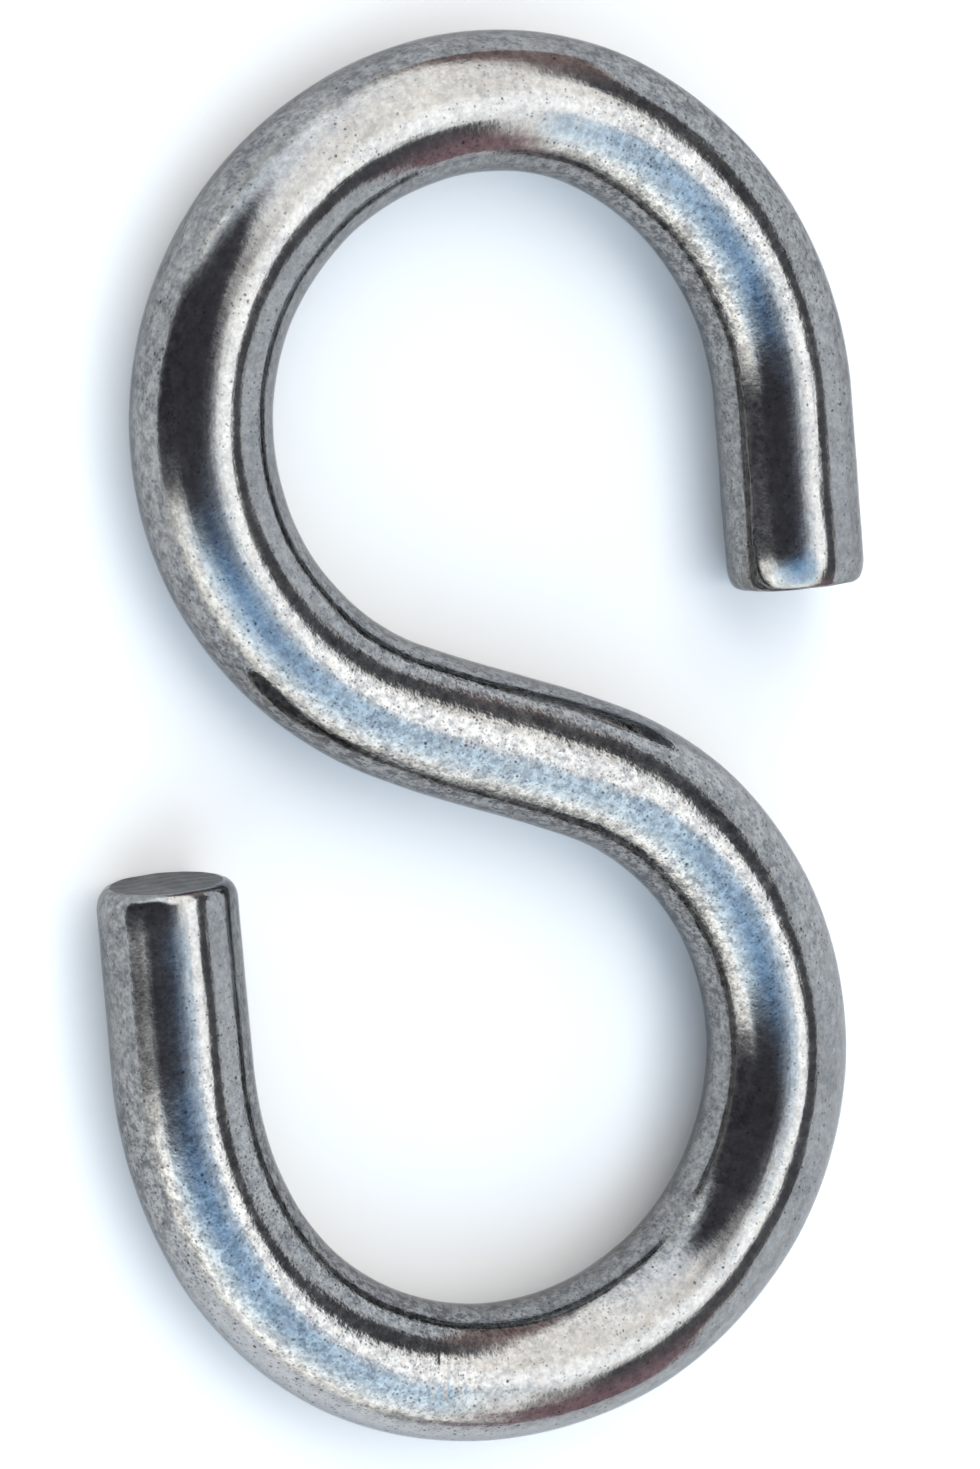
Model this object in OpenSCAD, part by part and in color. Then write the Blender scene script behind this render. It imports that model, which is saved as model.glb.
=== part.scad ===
// S hook bent from one length of round steel wire, lying flat.
// Millimetres, +Z up. The hook lies in the XY plane with its underside at z = 0,
// its length along Y, and the middle of its outline over the origin.
// The wire runs from the upper tip, over the crown, down the back of the upper
// loop, across the waist, round the lower loop and up to the lower tip.
// Every bend is a torus segment and each tip a cylinder, each tangent to the next.
// The lower loop turns back by as much as the upper one, so the tips are parallel.

/* [Wire] */
// Diameter of the round wire
wire_d = 5; // [4:0.1:5.6]
// Radius of the rounded rim at each cut end
rim_r = 0.4; // [0.1:0.05:0.8]

/* [Stance] */
// Lean of the two tips, in degrees from the Y axis
lean_deg = 5; // [0:1:12]

/* [Upper loop] */
// Straight length at the upper tip
upper_tip_len = 6.9; // [4:0.1:9]
// Bend radius of the side above the tip, to the middle of the wire
upper_side_r = 11.9; // [10.5:0.1:13.5]
// Turn of that side, in degrees
upper_side_deg = 58; // [50:1:62]
// Bend radius over the crown
crown_r = 9.5; // [8:0.1:10.8]
// Turn over the crown, in degrees
crown_deg = 23; // [18:1:27]
// Bend radius of the back of the upper loop
upper_back_r = 11.1; // [10.2:0.1:12]
// Turn of the back of the upper loop, in degrees
upper_back_deg = 164; // [158:1:168]

/* [Waist] */
// Bend radius of the nearly straight waist, one way and then the other
waist_r = 54; // [40:1:75]
// Turn of each half of the waist, in degrees
waist_deg = 4; // [2:1:6]

/* [Lower loop] */
// Bend radius of the back of the lower loop
lower_back_r = 11.2; // [10.2:0.1:12.2]
// Bend radius round the bottom
bottom_r = 11.1; // [10.2:0.1:12]
// Turn round the bottom, in degrees
bottom_deg = 114; // [108:1:119]
// Bend radius of the side below the lower tip
lower_side_r = 14.5; // [12:0.5:19]
// Turn of that side, in degrees
lower_side_deg = 26; // [20:1:31]
// Straight length at the lower tip
lower_tip_len = 6.9; // [4:0.1:9]

/* [Hidden] */
$fn = 96;
wire_r = wire_d / 2;
// What is left for the back of the lower loop, so that the turns cancel out.
lower_back_deg = upper_side_deg + crown_deg + upper_back_deg - bottom_deg - lower_side_deg;

// The run of the wire: [bend radius, turn in degrees], anticlockwise positive,
// or [0, length] for a straight tip.
RUN = [
    [0, upper_tip_len],
    [upper_side_r, upper_side_deg],
    [crown_r, crown_deg],
    [upper_back_r, upper_back_deg],
    [waist_r, waist_deg],
    [waist_r, -waist_deg],
    [lower_back_r, -lower_back_deg],
    [bottom_r, -bottom_deg],
    [lower_side_r, -lower_side_deg],
    [0, lower_tip_len],
];
LAST = len(RUN) - 1;

// Pose [x, y, heading] reached after going part f of segment s from pose p.
function along(p, s, f = 1) =
    s[0] == 0
    ? [p[0] + s[1] * f * cos(p[2]), p[1] + s[1] * f * sin(p[2]), p[2]]
    : let (g = sign(s[1]), a = p[2] + s[1] * f)
      [p[0] + g * s[0] * (sin(a) - sin(p[2])),
       p[1] - g * s[0] * (cos(a) - cos(p[2])),
       a];

// Pose at the start of segment i. The run begins at the upper tip, heading along +Y.
function pose(i) = i == 0 ? [0, 0, 90] : along(pose(i - 1), RUN[i - 1]);

// Outline of the wire's two sides once the hook leans, to centre it over the origin.
STEPS = 400;
SIDES = [for (i = [0:LAST]) let (p = pose(i)) for (k = [0:STEPS])
    if (!(i == 0 && k / STEPS * upper_tip_len < rim_r) &&
        !(i == LAST && (1 - k / STEPS) * lower_tip_len < rim_r))
        let (q = along(p, RUN[i], k / STEPS), n = wire_r * [-sin(q[2]), cos(q[2])])
            for (g = [-1, 1]) let (x = q[0] + g * n[0], y = q[1] + g * n[1])
                [x * cos(lean_deg) - y * sin(lean_deg), x * sin(lean_deg) + y * cos(lean_deg)]];
X = [for (q = SIDES) q[0]];
Y = [for (q = SIDES) q[1]];
mid_x = (min(X) + max(X)) / 2;
mid_y = (min(Y) + max(Y)) / 2;

// Moves its children to point p in two steps: to the nearest hundredth, then by the remainder.
module at_point(p) {
    near = [round(p[0] * 100) / 100, round(p[1] * 100) / 100];
    translate([near[0], near[1], 0])
        translate([p[0] - near[0], p[1] - near[1], 0]) children();
}

// Half section of a cut end: the full radius up to the rim, then a quarter round.
module tip_section(len) {
    square([wire_r, len - rim_r]);
    translate([0, len - rim_r]) square([wire_r - rim_r, rim_r]);
    translate([wire_r - rim_r, len - rim_r])
        intersection() {
            circle(r = rim_r);
            square(rim_r * 2);
        }
}

// Straight end of the wire, from point p towards +Y (up = 1) or -Y (up = -1), with its rounded rim outermost.
module tip(p, up, len) {
    at_point(p) rotate([-90 * up, 0, 0]) rotate_extrude() tip_section(len);
}

// Bend from pose p with middle radius r, by turn degrees: a torus segment about the bend's centre.
module bend(p, r, turn) {
    g = sign(turn);
    first = p[2] - 90 * g;
    at_point([p[0] - g * r * sin(p[2]), p[1] + g * r * cos(p[2])])
        rotate_extrude(angle = abs(turn), start = min(first, first + turn))
            translate([r, 0]) circle(d = wire_d);
}

// Segment i of the run, in its place.
module segment(i) {
    p = pose(i);
    s = RUN[i];
    if (i == 0) tip(along(p, s), -1, s[1]);
    else if (i == LAST) tip(p, 1, s[1]);
    else bend(p, s[0], s[1]);
}

module s_hook() {
    color([0.62, 0.63, 0.66])
        translate([-mid_x, -mid_y, wire_r]) rotate([0, 0, lean_deg])
            union() for (i = [0:LAST]) segment(i);
}

s_hook();
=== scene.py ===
import math

import bpy
import numpy as np
from mathutils import Matrix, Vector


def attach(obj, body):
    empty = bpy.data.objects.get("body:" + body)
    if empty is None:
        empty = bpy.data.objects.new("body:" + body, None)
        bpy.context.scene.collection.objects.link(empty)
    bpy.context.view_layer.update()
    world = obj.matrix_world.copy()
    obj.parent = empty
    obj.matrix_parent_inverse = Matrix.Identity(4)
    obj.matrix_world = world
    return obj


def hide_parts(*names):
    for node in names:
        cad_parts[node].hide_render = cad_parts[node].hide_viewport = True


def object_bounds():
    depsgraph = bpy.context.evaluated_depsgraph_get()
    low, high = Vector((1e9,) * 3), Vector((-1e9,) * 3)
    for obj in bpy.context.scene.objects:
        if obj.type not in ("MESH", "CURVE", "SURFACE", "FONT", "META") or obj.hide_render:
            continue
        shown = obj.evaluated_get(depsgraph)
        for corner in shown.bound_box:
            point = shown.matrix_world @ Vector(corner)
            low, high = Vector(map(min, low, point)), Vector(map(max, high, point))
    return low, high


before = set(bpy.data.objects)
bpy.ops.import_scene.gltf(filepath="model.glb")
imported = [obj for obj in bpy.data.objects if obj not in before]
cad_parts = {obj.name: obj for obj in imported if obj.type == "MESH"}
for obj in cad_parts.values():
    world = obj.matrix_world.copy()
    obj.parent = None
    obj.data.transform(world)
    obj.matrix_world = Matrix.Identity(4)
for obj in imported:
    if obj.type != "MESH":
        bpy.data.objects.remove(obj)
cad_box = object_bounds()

MM = 0.001


# ---------------------------------------------------------------- the wire's route
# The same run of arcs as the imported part, in millimetres: (bend radius, turn in
# degrees, anticlockwise positive), or (0, length) for a straight tip.
RADIUS = 2.5
LEAN = 5.0
RUN = [
    (0, 6.9), (11.9, 58), (9.5, 23), (11.1, 164), (54, 4), (54, -4),
    (11.2, -105), (11.1, -114), (14.5, -26), (0, 6.9),
]


def after(pose, seg, f=1.0):
    x, y, h = pose
    a = math.radians(h)
    r, v = seg
    if r == 0:
        return (x + v * f * math.cos(a), y + v * f * math.sin(a), h)
    g = 1 if v > 0 else -1
    b = math.radians(h + v * f)
    return (x + g * r * (math.sin(b) - math.sin(a)), y - g * r * (math.cos(b) - math.cos(a)), h + v * f)


poses = [(0.0, 0.0, 90.0 + LEAN)]
lengths = []
for seg in RUN:
    lengths.append(seg[1] if seg[0] == 0 else seg[0] * math.radians(abs(seg[1])))
    poses.append(after(poses[-1], seg))
starts = np.concatenate([[0.0], np.cumsum(lengths)])
TOTAL = float(starts[-1])

edge = []
for i, seg in enumerate(RUN):
    for k in range(401):
        if (i == 0 and k / 400 * seg[1] < 0.4) or (i == len(RUN) - 1 and (1 - k / 400) * seg[1] < 0.4):
            continue
        x, y, h = after(poses[i], seg, k / 400)
        c, s = math.cos(math.radians(h)), math.sin(math.radians(h))
        edge += [(x - RADIUS * s, y + RADIUS * c), (x + RADIUS * s, y - RADIUS * c)]
edge = np.array(edge)
box_mid = [(cad_box[0][k] + cad_box[1][k]) / 2 / MM for k in (0, 1)]
shift = np.array(box_mid) - (edge.min(0) + edge.max(0)) / 2


def centre(s):
    """Points and headings (radians) on the centre line at lengths s from the upper tip."""
    s = np.asarray(s, float)
    out = np.zeros(s.shape + (3,))
    idx = np.clip(np.searchsorted(starts, s, side="right") - 1, 0, len(RUN) - 1)
    for i, seg in enumerate(RUN):
        m = idx == i
        if not m.any():
            continue
        x, y, h = poses[i]
        a = math.radians(h)
        d = s[m] - starts[i]
        r, v = seg
        if r == 0:
            out[m, 0] = x + d * math.cos(a)
            out[m, 1] = y + d * math.sin(a)
            out[m, 2] = a
        else:
            g = 1 if v > 0 else -1
            b = a + g * d / r
            out[m, 0] = x + g * r * (np.sin(b) - math.sin(a))
            out[m, 1] = y - g * r * (np.cos(b) - math.cos(a))
            out[m, 2] = b
    out[..., 0] += shift[0]
    out[..., 1] += shift[1]
    return out


# ---------------------------------------------------------------- the wire's surface
rng = np.random.default_rng(7)
AROUND = 112


def bell(x, mid, width):
    return np.exp(-((x - mid) / width) ** 2)


# Gentle unevenness left by drawing and bending: long, low waves along and around the wire.
WAVES = []
for _ in range(26):
    length = rng.uniform(1.6, 9.0)
    WAVES.append((2 * math.pi / length, int(rng.integers(0, 5)), rng.uniform(0, 2 * math.pi), 0.0024 * length ** 0.8 * rng.uniform(0.3, 1.0)))

# Small nicks across the crest of the bottom bend: (length along, angle round, half length round, half width along, depth).
NICKS = [
    (95.9, 3, 5, 0.06, 0.018), (95.72, -7, 4, 0.07, 0.016), (95.4, 8, 6, 0.06, 0.016),
    (96.25, 18, 3, 0.08, 0.022), (93.8, 17, 5, 0.05, 0.012), (96.15, -12, 4, 0.07, 0.012),
    (96.7, -22, 3, 0.30, 0.012), (95.15, -2, 3, 0.05, 0.010),
]


# Bending left the wire a shade fuller or leaner on its flanks, in millimetres:
# (length along, on the left of the run, on the right).
FLANKS = np.array([
    (0, 0.03, 0.03), (12, 0.035, 0), (24, 0.01, -0.02), (30, 0.06, -0.08), (39, 0.03, -0.01),
    (44, 0.06, 0.01), (51, 0.06, -0.09), (58, 0.07, 0.02), (71, 0.11, 0.05), (78, 0.16, 0.05),
    (86, 0.12, -0.02), (93, 0, -0.03), (98, 0.03, 0), (104, 0, 0), (110, 0.01, 0.04), (118, -0.01, 0.03),
])


def flank_at(s, column):
    """The flank's fullness at length s, eased between the points above."""
    k = np.clip(np.searchsorted(FLANKS[:, 0], s, side="right") - 1, 0, len(FLANKS) - 2)
    f = np.clip((s - FLANKS[k, 0]) / (FLANKS[k + 1, 0] - FLANKS[k, 0]), 0, 1)
    f = f * f * (3 - 2 * f)
    return FLANKS[k, column] * (1 - f) + FLANKS[k + 1, column] * f


def relief(s, phi):
    """How far the surface stands out (or, negative, in) from the nominal radius, in millimetres."""
    d = np.full(np.broadcast(s, phi).shape, 0.008)
    for column, sign in ((1, -1), (2, 1)):
        d = d + flank_at(s, column) * np.clip(sign * np.sin(phi), 0, 1) ** 2
    for k, n, p, a in WAVES:
        d = d + 0.5 * a * (np.cos(k * s + n * phi + p) - 1) / 2
    for at, ang, ha, hw, depth in NICKS:
        w = np.angle(np.exp(1j * (phi - math.radians(ang))))
        skew = 0.012 * np.degrees(w)
        d = d - depth * bell(s, at + skew, hw) * bell(np.degrees(w), 0, ha)
    return d


# Stations along the wire: even, closer where the nicks are.
body = list(np.arange(1.9, TOTAL - 1.3, 0.185))
fine = np.arange(93.4, 97.2, 0.055)
body = [s for s in body if not (93.4 <= s <= 97.2)] + list(fine)
body = np.array(sorted(body))

phis = np.linspace(0, 2 * math.pi, AROUND, endpoint=False)  # 0 is up, turning towards the right of the run

verts = []
straight = []  # the same points with the wire pulled straight: length along, to the right, up
rows = []


def ring(s_line, radius, lift=0.0):
    """One ring of points: s_line and radius may vary round the wire."""
    c = centre(s_line)
    side = np.stack([np.sin(c[..., 2]), -np.cos(c[..., 2])], -1)
    r = radius
    x = c[..., 0] + side[..., 0] * r * np.sin(phis)
    y = c[..., 1] + side[..., 1] * r * np.sin(phis)
    z = RADIUS + r * np.cos(phis)
    first = len(verts)
    verts.extend(np.stack([x, y, z], -1) * MM)
    straight.extend(np.stack([s_line, r * np.sin(phis), r * np.cos(phis)], -1))
    rows.append(list(range(first, first + AROUND)))


def cut_end(at, out, short, tilt, turn, a_top, a_low, b_top, b_low, aside):
    """Rings of a sheared end: at is the length of the nominal end, out is +1 or -1 along the run.
    short is how much is missing from it, tilt and turn lean the cut, and a and b are the roll-over's length and depth
    at the top and below. aside is how far round the wire the blade came down from the top."""
    top = (1 + np.cos(phis - math.radians(aside))) / 2
    sides = np.sin(phis) ** 4
    a = a_low + (a_top - a_low) * top ** 1.5 + 0.20 * sides
    b = b_low + (b_top - b_low) * top ** 1.5 + 0.12 * sides
    lean_z = math.tan(math.radians(tilt))
    lean_x = math.tan(math.radians(turn))

    def face(radius):
        z = radius * np.cos(phis)
        x = radius * np.sin(phis)
        # faint ridges of the shear, and a slightly dished, torn middle
        ridges = 0.012 * np.sin(z * 9.0 + 0.8 * np.sin(x * 2.1)) + 0.01 * np.sin(x * 5.3 + z * 3.1)
        torn = 0.03 * np.cos(x * 1.3 - 0.4) * np.cos(z * 1.1 + 0.6)
        return at + out * (-short - z * lean_z - x * lean_x + (ridges + torn - 0.03) * (1 - (radius / RADIUS) ** 4))

    base = relief(np.full(AROUND, at), phis)
    out_rings = []
    last = None
    for t in np.linspace(0, 1, 15)[1:]:
        r = RADIUS + base - b + b * np.cos(t * math.pi / 2)
        s = face(r) - out * a * (1 - math.sin(t * math.pi / 2))
        # the rolled-over edge, rounding down and back towards the cut face
        out_rings.append((s, r, True))
        last = r
    for f in np.linspace(1, 0, 15)[1:-1]:
        r = last * f
        out_rings.append((face(r), r, False))
    return out_rings, face(np.full(AROUND, 0.0))


up_rings, up_mid = cut_end(0.0, -1, 0.06, 1.0, 0.0, 1.60, 0.30, 0.40, 0.20, -24)
low_rings, low_mid = cut_end(TOTAL, +1, 0.05, 0.7, 0.0, 0.46, 0.75, 0.32, 0.45, 0)

for s, r, side_wall in reversed(up_rings):
    ring(s, r)
n_up_face = len([1 for q in up_rings if not q[2]])
for s in body:
    sl = np.full(AROUND, s)
    ring(sl, RADIUS + relief(sl, phis))
for s, r, side_wall in low_rings:
    ring(s, r)
n_low_face = len([1 for q in low_rings if not q[2]])

faces = []
cut_rows = []
for j in range(len(rows) - 1):
    a, b = rows[j], rows[j + 1]
    for i in range(AROUND):
        k = (i + 1) % AROUND
        faces.append((a[i], a[k], b[k], b[i]))
        cut_rows.append(j < n_up_face or j >= len(rows) - 1 - n_low_face)
for row, mid, flip in ((rows[0], up_mid, False), (rows[-1], low_mid, True)):
    c = centre(np.array([float(np.mean(mid))]))[0]
    verts.append(np.array([c[0], c[1], RADIUS]) * MM)
    straight.append(np.array([float(np.mean(mid)), 0.0, 0.0]))
    m = len(verts) - 1
    for i in range(AROUND):
        k = (i + 1) % AROUND
        faces.append((m, row[i], row[k]) if flip else (m, row[k], row[i]))
        cut_rows.append(True)

mesh = bpy.data.meshes.new("s_hook_wire")
mesh.from_pydata([tuple(v) for v in verts], [], faces)
mesh.update()
pulled = mesh.attributes.new("straightened", "FLOAT_VECTOR", "POINT")
pulled.data.foreach_set("vector", np.array(straight, dtype=np.float32).ravel())
wire = bpy.data.objects.new("s_hook_wire", mesh)
bpy.context.scene.collection.objects.link(wire)
import bmesh

bm = bmesh.new()
bm.from_mesh(mesh)
bmesh.ops.recalc_face_normals(bm, faces=bm.faces)
bm.to_mesh(mesh)
bm.free()
mesh.polygons.foreach_set("use_smooth", [True] * len(mesh.polygons))
mesh.polygons.foreach_set("material_index", [1 if c else 0 for c in cut_rows])
mesh.update()


# ---------------------------------------------------------------- node helpers
class Ex:
    """A number in a node tree, so that formulas can be written plainly."""

    def __init__(self, tree, sock):
        self.tree, self.sock = tree, sock

    def op(self, name, *others, clamp=False):
        n = self.tree.nodes.new("ShaderNodeMath")
        n.operation = name
        n.use_clamp = clamp
        for slot, v in zip(n.inputs, (self,) + others):
            if isinstance(v, Ex):
                self.tree.links.new(v.sock, slot)
            else:
                slot.default_value = float(v)
        return Ex(self.tree, n.outputs[0])

    def __add__(self, o):
        return self.op("ADD", o)

    __radd__ = __add__

    def __sub__(self, o):
        return self.op("SUBTRACT", o)

    def __rsub__(self, o):
        return (self * -1) + o

    def __neg__(self):
        return self * -1

    def __mul__(self, o):
        return self.op("MULTIPLY", o)

    __rmul__ = __mul__

    def __truediv__(self, o):
        return self.op("DIVIDE", o)

    def smooth(self, a, b):
        """0 below a, 1 above b, eased between (a may be more than b). a and b may vary."""
        if isinstance(a, Ex) or isinstance(b, Ex):
            t = ((self - a) / (b - a if isinstance(b, Ex) else (a * -1) + b)).op("MULTIPLY", 1.0, clamp=True)
        else:
            t = ((self - a) / (b - a)).op("MULTIPLY", 1.0, clamp=True)
        return t * t * (3 - 2 * t)


def mix(tree, fac, a, b):
    n = tree.nodes.new("ShaderNodeMix")
    n.data_type = "RGBA"
    n.clamp_factor = True
    tree.links.new(fac.sock, n.inputs[0])
    for slot, v in ((n.inputs[6], a), (n.inputs[7], b)):
        if isinstance(v, (tuple, list)):
            slot.default_value = (*v, 1.0)
        else:
            tree.links.new(v, slot)
    return n.outputs[2]


# ---------------------------------------------------------------- the studio round the hook
# Soft panels by direction. X and Y are degrees away from straight up, towards +X and +Y.
world = bpy.data.worlds.new("studio")
bpy.context.scene.world = world
world.use_nodes = True
wt = world.node_tree
wt.nodes.clear()
coord = wt.nodes.new("ShaderNodeTexCoord")
split = wt.nodes.new("ShaderNodeSeparateXYZ")
wt.links.new(coord.outputs["Generated"], split.inputs[0])
dx, dy, dz = (Ex(wt, split.outputs[k]) for k in range(3))
flat = (dx * dx + dy * dy + 1e-8).op("SQRT")
angle = flat.op("ARCTAN2", dz) * 57.29578
X = dx / flat * angle
Y = dy / flat * angle

ALBEDO = 0.27
EXPOSURE = 0.08
CONTRAST = 1.11


def panel(*rgb):
    """The brightness a panel needs to show in the metal as this printed colour."""
    c = np.array(rgb, float) / 255
    shown = np.where(c <= 0.04045, c / 12.92, ((c + 0.055) / 1.055) ** 2.4)
    return tuple(float(v) for v in shown ** (1 / CONTRAST) / 2 ** EXPOSURE / ALBEDO)


WHITE = panel(216, 215, 211)
SOFT = panel(198, 203, 208)
HAZE = panel(171, 179, 185)
STREAK = panel(210, 216, 217)
ARC = panel(226, 226, 222)
PALE = panel(196, 214, 225)
BLUE = panel(72, 114, 156)
GLOW = panel(236, 238, 238)
RIM = panel(141, 143, 141)
EARTH = panel(109, 114, 115)
DIM = panel(90, 91, 93)
DUSK = panel(72, 73, 80)
NIGHT = panel(46, 46, 50)
BAND = panel(61, 62, 65)
BROWN_HIGH = panel(103, 90, 89)
BROWN_LOW = panel(106, 88, 93)
GREY = panel(152, 158, 163)

# A white ceiling, greyer and hazier towards the upper left, and a brighter streak there.
sky = mix(wt, (-X).smooth(-6, 30) * Y.smooth(8, 28), WHITE, SOFT)
sky = mix(wt, (-X).smooth(29, 42) * Y.smooth(27, 40), sky, HAZE)
streak = ((X + 60) * (X + 60) / 121 + (Y - 42) * (Y - 42) / 225).smooth(1.4, 0.2)
sky = mix(wt, streak, sky, STREAK)
sky = mix(wt, (-Y).smooth(17, 23), sky, ARC)
# A patch of window blue below the middle, paling outwards.
wide = X.smooth(21, 14) * (-X).smooth(65, 48) * (-Y).smooth(-6, 27) * angle.smooth(81, 45)
sky = mix(wt, wide, sky, PALE)
deep = X.smooth(41, -30) * (-X).smooth(59, 35) * (-Y).smooth(1, 15) * angle.smooth(66, 19)
sky = mix(wt, deep, sky, BLUE)
glow = ((X - 27) * (X - 27) / 169 + (Y + 3) * (Y + 3) / 361).smooth(1.5, 0.2)
sky = mix(wt, glow, sky, GLOW)
# Grey walls low down, all the way round, darker at the bottom and on the left.
sky = mix(wt, angle.smooth(70, 94), sky, RIM)
sky = mix(wt, angle.smooth(65, 106) * X.smooth(-26, 12) * (-Y).smooth(20, 40), sky, EARTH)
sky = mix(wt, angle.smooth(47, 85) * X.smooth(-51, -68) * (Y + 3).op("ABSOLUTE").smooth(32, 16), sky, DIM)
# An unlit doorway on the left.
low_edge = (-X).smooth(0, 53) * -13 - 12 + (-X).smooth(44, 60) * 7
high_edge = (-X).smooth(5, 35) * 31 + 10.5 - (-X).smooth(45, 70) * 2.6
dusk = X.smooth(11.5, -4.5) * (Y - low_edge).smooth(-11, 11) * (Y - high_edge).smooth(12, -12) * angle.smooth(94, 80)
sky = mix(wt, dusk, sky, DUSK)
sky = mix(wt, dusk * X.smooth(2.6, -20), sky, NIGHT)
# A dark beam on the right, brown at both ends, and grey beyond it.
left = Y * Y * -0.0079 + 32.7 + Y.smooth(0, 30) * 5 + (-Y).smooth(60, 80) * 23
right = (-Y).smooth(42, 60) * 7 + Y.smooth(0, 15) * 4 - Y.smooth(30, 48) * 7.5 + 49.8
far = (X - right).smooth(-3, 3)
sky = mix(wt, far, sky, GREY)
high = Y.smooth(32, 70)
low = (-Y).smooth(26, 63)
beam = mix(wt, high, BAND, BROWN_HIGH)
beam = mix(wt, low, beam, BROWN_LOW)
brown = high + low
sky = mix(wt, (X - left).smooth(brown * 8.5 - 3, brown * 24 + 3) * (1 - far), sky, beam)

seen = wt.nodes.new("ShaderNodeBackground")
wt.links.new(sky, seen.inputs["Color"])
seen.inputs["Strength"].default_value = 1.0
plain = wt.nodes.new("ShaderNodeBackground")
plain.inputs["Color"].default_value = (0.95, 0.965, 0.98, 1.0)
plain.inputs["Strength"].default_value = 1.0
path = wt.nodes.new("ShaderNodeLightPath")
pick = wt.nodes.new("ShaderNodeMixShader")
wt.links.new(path.outputs["Is Camera Ray"], pick.inputs[0])
wt.links.new(seen.outputs[0], pick.inputs[1])
wt.links.new(plain.outputs[0], pick.inputs[2])
wout = wt.nodes.new("ShaderNodeOutputWorld")
wt.links.new(pick.outputs[0], wout.inputs["Surface"])
world.cycles.sampling_method = "MANUAL"
world.cycles.sample_map_resolution = 1024


# ---------------------------------------------------------------- materials
def material(name):
    m = bpy.data.materials.new(name)
    m.use_nodes = True
    m.node_tree.nodes.clear()
    t = m.node_tree
    out = t.nodes.new("ShaderNodeOutputMaterial")
    bsdf = t.nodes.new("ShaderNodeBsdfPrincipled")
    t.links.new(bsdf.outputs[0], out.inputs["Surface"])
    return m, t, bsdf


def noise(t, vec, scale, detail=3.0, rough=0.55, stretch=None):
    if stretch:
        mp = t.nodes.new("ShaderNodeMapping")
        mp.inputs["Scale"].default_value = stretch
        t.links.new(vec, mp.inputs["Vector"])
        vec = mp.outputs[0]
    n = t.nodes.new("ShaderNodeTexNoise")
    n.inputs["Scale"].default_value = scale
    n.inputs["Detail"].default_value = detail
    n.inputs["Roughness"].default_value = rough
    t.links.new(vec, n.inputs["Vector"])
    return Ex(t, n.outputs[0])


def specks(t, vec, scale, size, soft):
    """Round specks, 1 inside, and a number from 0 to 1 for each, by which they are thinned out."""
    v = t.nodes.new("ShaderNodeTexVoronoi")
    v.inputs["Scale"].default_value = scale
    t.links.new(vec, v.inputs["Vector"])
    dist = Ex(t, v.outputs["Distance"])
    sep = t.nodes.new("ShaderNodeSeparateColor")
    t.links.new(v.outputs["Color"], sep.inputs[0])
    big = Ex(t, sep.outputs[1]) * size * 0.7 + size * 0.4
    return (dist - big).smooth(soft, -soft), Ex(t, sep.outputs[0])


steel, t, bsdf = material("bright_zinc_wire")
run = t.nodes.new("ShaderNodeAttribute")
run.attribute_name = "straightened"
vec = run.outputs["Vector"]
sp = t.nodes.new("ShaderNodeSeparateXYZ")
t.links.new(vec, sp.inputs[0])
along = Ex(t, sp.outputs[0])
wob = t.nodes.new("ShaderNodeTexNoise")
wob.inputs["Scale"].default_value = 2.6
wob.inputs["Detail"].default_value = 2.0
t.links.new(vec, wob.inputs["Vector"])
warp = t.nodes.new("ShaderNodeVectorMath")
warp.operation = "MULTIPLY_ADD"
t.links.new(wob.outputs["Color"], warp.inputs[0])
warp.inputs[1].default_value = (0.16, 0.16, 0.16)
t.links.new(vec, warp.inputs[2])
wv = warp.outputs[0]

# Dark specks, thickest over the waist and round the lower left of the hook.
patch = noise(t, vec, 0.45, 2.0)
crowd = (along - 60).op("ABSOLUTE").smooth(17, 6) + (along - 102).op("ABSOLUTE").smooth(12, 4) + (along - 15).op("ABSOLUTE").smooth(8, 3) * 0.8
thick = crowd * 0.75 + patch.smooth(0.40, 0.66) * 0.45 + 0.12
pit_a, pick_a = specks(t, wv, 3.6, 0.20, 0.10)
pit_b, pick_b = specks(t, wv, 6.0, 0.28, 0.16)
pit_c, pick_c = specks(t, wv, 8.5, 0.36, 0.22)
pits = (pit_a * (pick_a - thick * 0.12).smooth(0.02, -0.02)).op(
    "MAXIMUM", pit_b * (pick_b - thick * 0.34).smooth(0.02, -0.02) * 0.85).op(
    "MAXIMUM", pit_c * (pick_c - thick * 0.50).smooth(0.02, -0.02) * 0.6)

cloud = noise(t, vec, 0.5, 4.0, 0.6)
grain = noise(t, vec, 3.0, 2.0, 0.7)
fine_grain = noise(t, vec, 8.0, 1.0, 0.5)
drawn = noise(t, vec, 1.0, 2.0, 0.5, stretch=(0.22, 2.6, 2.6))
# The grain shows more on the wire's flanks, which are less rubbed than its top.
flank = Ex(t, sp.outputs[1]).op("ABSOLUTE").smooth(1.2, 2.2) * 1.3 + 1
# Painted light: the underside gets a paler base colour, which brightens what it reflects.
below = Ex(t, sp.outputs[2]).smooth(0.2, -1.4)
tone = (cloud.smooth(0.3, 0.7) - 0.5) * 0.25 + ((grain.smooth(0.3, 0.7) - 0.5) * 0.60 + (fine_grain.smooth(0.3, 0.7) - 0.5) * 0.26) * flank * (crowd * 0.60 + 0.55) + 0.5
base = mix(t, tone, (0.159, 0.161, 0.168), (0.381, 0.378, 0.372))
hue = noise(t, vec, 2.4, 2.0, 0.6)
base = mix(t, hue.smooth(0.50, 0.75) * 0.5, base, (0.275, 0.253, 0.236))
# painted light: paler underside, brightening its reflections
base = mix(t, below * 0.45, base, (0.50, 0.50, 0.505))
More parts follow.
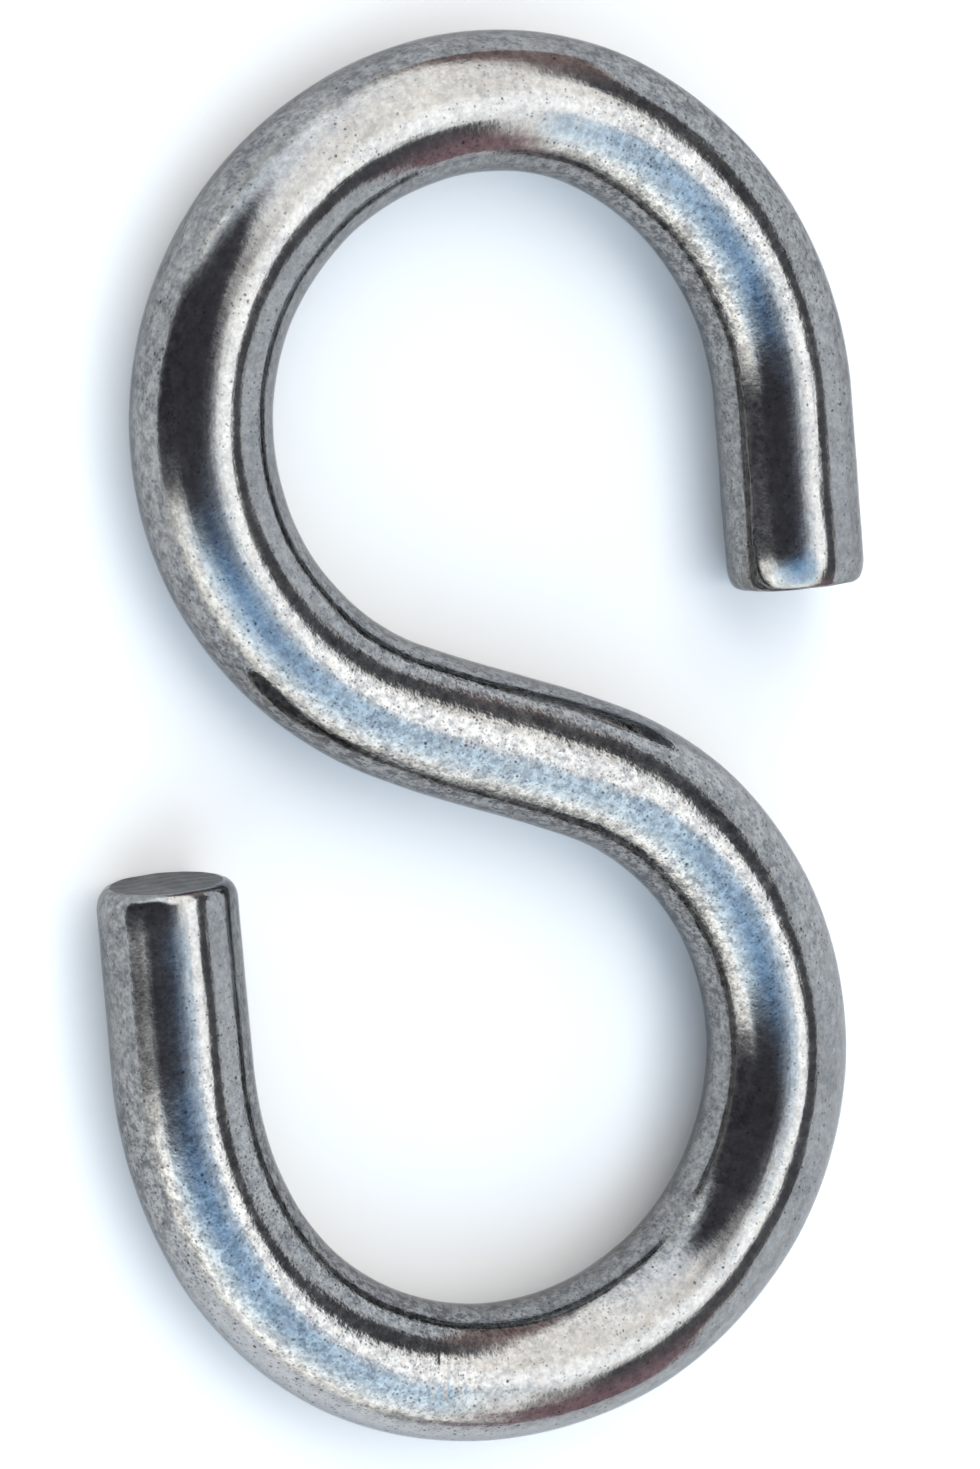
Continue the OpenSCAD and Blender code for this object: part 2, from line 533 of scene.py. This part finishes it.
# Painted light as well: a paler base on the left flank past the crown, most of all on the outside of the lower bend,
# which brightens what it reflects.
left_flank_painted_light = along.smooth(22, 30) * 0.22 + along.smooth(60, 66) * 0.22 + (along - 98).op("ABSOLUTE").smooth(11, 4) * 0.35 - along.smooth(100, 110) * 0.44
# painted light: paler left flank, brightening its reflections
base = mix(t, left_flank_painted_light * Ex(t, sp.outputs[1]).smooth(-1.3, -2.1), base, (0.50, 0.50, 0.505))
base = mix(t, pits, base, (0.060, 0.060, 0.066))
t.links.new(base, bsdf.inputs["Base Color"])
bsdf.inputs["Metallic"].default_value = 1.0
bsdf.inputs["Specular Tint"].default_value = (0.68, 0.68, 0.69, 1.0)
rough = cloud.smooth(0.3, 0.7) * 0.04 + grain.smooth(0.3, 0.75) * 0.03 + pits * 0.10 + 0.085
t.links.new(rough.sock, bsdf.inputs["Roughness"])
b1 = t.nodes.new("ShaderNodeBump")
b1.inputs["Strength"].default_value = 1.0
b1.inputs["Distance"].default_value = 0.00001
height = (grain * 0.5 + fine_grain * 0.10) * (crowd * 1.1 + 0.9) + drawn * 0.9
t.links.new(height.sock, b1.inputs["Height"])
t.links.new(b1.outputs[0], bsdf.inputs["Normal"])

cut, t, bsdf = material("sheared_end")
tc = t.nodes.new("ShaderNodeTexCoord")
vec = tc.outputs["Object"]
g1 = noise(t, vec, 900.0, 4.0, 0.6, stretch=(1.0, 1.0, 0.35))
g2 = noise(t, vec, 4200.0, 3.0, 0.6)
base = mix(t, g1.smooth(0.35, 0.68), (0.12, 0.122, 0.125), (0.20, 0.203, 0.207))
base = mix(t, g2.smooth(0.55, 0.72) * 0.5, base, (0.07, 0.07, 0.074))
t.links.new(base, bsdf.inputs["Base Color"])
bsdf.inputs["Metallic"].default_value = 1.0
t.links.new((g1 * 0.2 + g2 * 0.15 + 0.38).sock, bsdf.inputs["Roughness"])
b2 = t.nodes.new("ShaderNodeBump")
b2.inputs["Strength"].default_value = 0.5
b2.inputs["Distance"].default_value = 0.00005
t.links.new((g1 + g2 * 0.5).sock, b2.inputs["Height"])
t.links.new(b2.outputs[0], bsdf.inputs["Normal"])

mesh.materials.append(steel)
mesh.materials.append(cut)

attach(wire, "root")
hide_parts("s_hook")


# ---------------------------------------------------------------- floor
fm = bpy.data.meshes.new("floor")
SIZE, N = 2.5, 24
grid = [(-SIZE + 2 * SIZE * i / N, -SIZE + 2 * SIZE * j / N, 0.0) for j in range(N + 1) for i in range(N + 1)]
quads = [(j * (N + 1) + i, j * (N + 1) + i + 1, (j + 1) * (N + 1) + i + 1, (j + 1) * (N + 1) + i) for j in range(N) for i in range(N)]
fm.from_pydata(grid, [], quads)
fm.update()
floor = bpy.data.objects.new("floor", fm)
bpy.context.scene.collection.objects.link(floor)
pale, t, bsdf = material("pale_floor")
tc = t.nodes.new("ShaderNodeTexCoord")
n = noise(t, tc.outputs["Object"], 60.0, 3.0)
col = mix(t, n, (0.885, 0.887, 0.890), (0.905, 0.907, 0.910))
t.links.new(col, bsdf.inputs["Base Color"])
bsdf.inputs["Roughness"].default_value = 0.9
bsdf.inputs["Specular IOR Level"].default_value = 0.0
fm.materials.append(pale)


# ---------------------------------------------------------------- camera
# The photograph's view: from above, leaning about 20 degrees to the left and 7 towards the top.
lean = np.array([math.tan(math.radians(-20.5)), math.tan(math.radians(7.0)), 1.0])
back = lean / np.linalg.norm(lean)
up = np.array([0.0, 1.0, 0.0]) - back[1] * back
up /= np.linalg.norm(up)
across = np.cross(up, back)
aim = np.array([0.1179, 0.3501, 2.5]) * MM
place = aim + back * 0.18505
cam_data = bpy.data.cameras.new("camera")
cam_data.sensor_width = 36.0
cam_data.lens = 36.0 * 5200 / 1469
cam_data.clip_start = 0.005
cam_data.clip_end = 20.0
cam = bpy.data.objects.new("camera", cam_data)
bpy.context.scene.collection.objects.link(cam)
cam.matrix_world = Matrix((
    (across[0], up[0], back[0], place[0]),
    (across[1], up[1], back[1], place[1]),
    (across[2], up[2], back[2], place[2]),
    (0, 0, 0, 1),
))
bpy.context.scene.camera = cam
bpy.context.scene.view_settings.view_transform = "Standard"
bpy.context.scene.view_settings.look = "None"
bpy.context.scene.view_settings.exposure = EXPOSURE
bpy.context.scene.view_settings.gamma = 1 / CONTRAST
